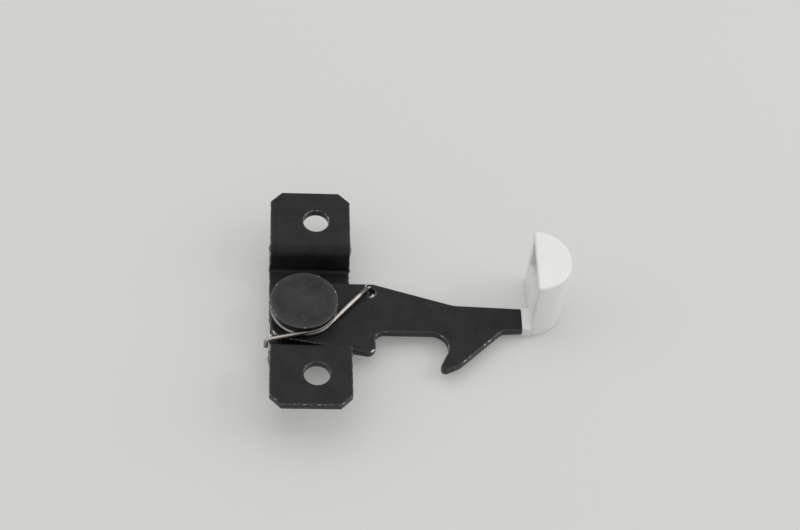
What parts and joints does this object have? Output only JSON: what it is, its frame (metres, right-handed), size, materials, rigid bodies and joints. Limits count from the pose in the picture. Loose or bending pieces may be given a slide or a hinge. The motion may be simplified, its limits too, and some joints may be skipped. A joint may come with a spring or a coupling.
{
  "type": "stair gate latch",
  "caption": "Sprung hook arm riveted into a folded steel bracket, with a notch that drops over a keeper and a half-round white finger knob on its end.",
  "frame": {"origin": "midway between the two screw holes, on the face of the ears that goes against the post", "axes": "+Z out of that mounting face, +X along the arm towards the finger knob, +Y the way the hook lifts"},
  "size_m": [0.0713, 0.0604, 0.0224],
  "materials": {
    "black_steel": "satin black coating over folded steel sheet, worn bright along the cut edges",
    "black_rivet": "satin black coating with fine bright specks and a worn rim",
    "zinc_bush": "turned steel, bright zinc",
    "black_arm": "satin black coating over pressed steel sheet, rubbed along the punched edges",
    "white_knob": "glossy white injection moulding",
    "spring_wire": "drawn spring wire, dull bright"
  },
  "bodies": {
    "frame": {"bracket": "black_steel", "pivot_rivet": "black_rivet", "spring_bush": "zinc_bush", "torsion_spring": "spring_wire"},
    "arm": {"latch_arm": "black_arm", "finger_knob": "white_knob"}
  },
  "joints": [
    {"name": "arm_pivot", "type": "hinge", "parent": "frame", "child": "arm", "pos_m": [-0.0028, 0, -0.0069], "axis": [0, 0, 1], "range_deg": [-4, 19.5], "stiffness_Nm_per_rad": 0.19, "deforming": ["torsion_spring"]}
  ]
}
